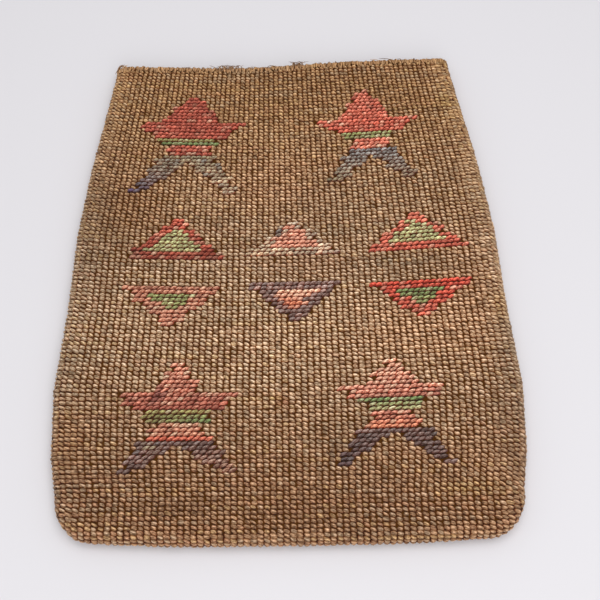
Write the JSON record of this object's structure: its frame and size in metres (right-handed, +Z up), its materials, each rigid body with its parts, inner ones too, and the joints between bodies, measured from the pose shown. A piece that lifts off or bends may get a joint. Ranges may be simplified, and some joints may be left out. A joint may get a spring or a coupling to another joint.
{
  "type": "corn husk bag",
  "caption": "Flat twined husk-fibre bag, open along its top edge, with stars and triangles of coloured yarn wrapped into its front face.",
  "frame": {"origin": "on the table under the middle of the bag's bounding box, with the bag lying on its back", "axes": "+Y from the base fold to the open mouth, +X across the front to the right, +Z up out of the front face"},
  "size_m": [0.2376, 0.29, 0.0114],
  "materials": {
    "husk": "tightly twined tan-brown husk and hemp fibre, dry, with a faint gloss along the strands",
    "red_yarn": "faded red wool yarn, matt",
    "salmon_yarn": "faded salmon-red wool yarn, matt",
    "green_yarn": "olive green wool yarn, matt",
    "purple_yarn": "grey-purple wool yarn, matt and faded"
  },
  "bodies": {
    "root": {"woven_bag": "husk", "star_upper_left_head_and_arms": "red_yarn", "star_upper_left_band": "green_yarn", "star_upper_left_waist": "red_yarn", "star_upper_left_legs": "purple_yarn", "star_upper_right_head_and_arms": "red_yarn", "star_upper_right_band": "green_yarn", "star_upper_right_waist": "red_yarn", "star_upper_right_legs": "purple_yarn", "star_lower_left_head_and_arms": "salmon_yarn", "star_lower_left_band": "green_yarn", "star_lower_left_waist": "salmon_yarn", "star_lower_left_legs": "purple_yarn", "star_lower_right_head_and_arms": "salmon_yarn", "star_lower_right_band": "green_yarn", "star_lower_right_waist": "salmon_yarn", "star_lower_right_legs": "purple_yarn", "triangle_upper_left_border": "red_yarn", "triangle_upper_left_centre": "green_yarn", "triangle_lower_left_border": "red_yarn", "triangle_lower_left_centre": "green_yarn", "triangle_upper_middle_border": "purple_yarn", "triangle_upper_middle_centre": "salmon_yarn", "triangle_lower_middle_border": "purple_yarn", "triangle_lower_middle_centre": "salmon_yarn", "triangle_upper_right_border": "red_yarn", "triangle_upper_right_centre": "green_yarn", "triangle_lower_right_border": "red_yarn", "triangle_lower_right_centre": "green_yarn"}
  },
  "joints": []
}
